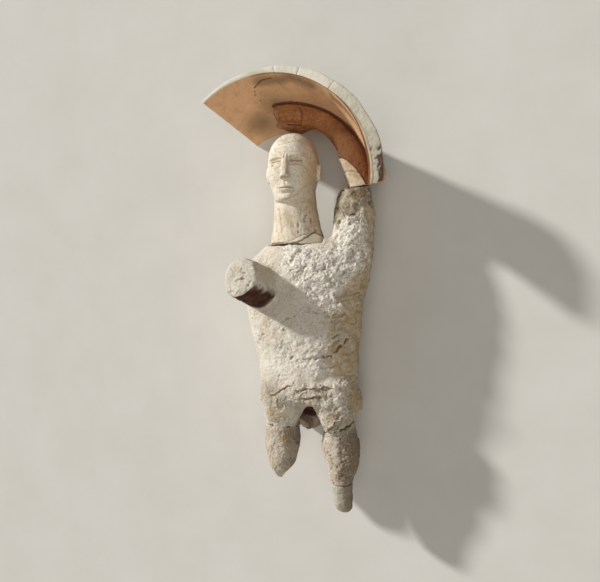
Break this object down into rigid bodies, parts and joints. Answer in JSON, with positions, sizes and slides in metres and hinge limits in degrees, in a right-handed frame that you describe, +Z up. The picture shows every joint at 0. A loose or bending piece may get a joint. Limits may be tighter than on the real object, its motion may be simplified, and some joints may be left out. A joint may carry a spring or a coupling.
{
  "type": "warrior statue",
  "caption": "Broken limestone statue of a warrior in a short kilt, one arm raised to hold a curved shield over the head, lying on its back.",
  "frame": {"origin": "middle of the bounding box at the level of the underside, on the ground that the statue lies on", "axes": "+X to the statue's left, +Y from the broken shins up to the shield, +Z up out of the chest; the statue lies on its back"},
  "size_m": [0.7678, 1.8844, 0.487],
  "materials": {
    "limestone": "pitted, weathered limestone, matt",
    "smooth_limestone": "worn limestone, matt",
    "head_limestone": "finely dressed limestone with yellow-brown veins, matt",
    "repair_fill": "smooth lime mortar, matt",
    "shield_limestone": "smooth limestone, tan below and chalky on the rim, matt"
  },
  "bodies": {
    "root": {"torso": "limestone", "right_leg": "limestone", "left_leg": "limestone", "left_ankle": "smooth_limestone", "head": "head_limestone", "neck_fill": "repair_fill", "shield_and_forearm": "shield_limestone"}
  },
  "joints": []
}
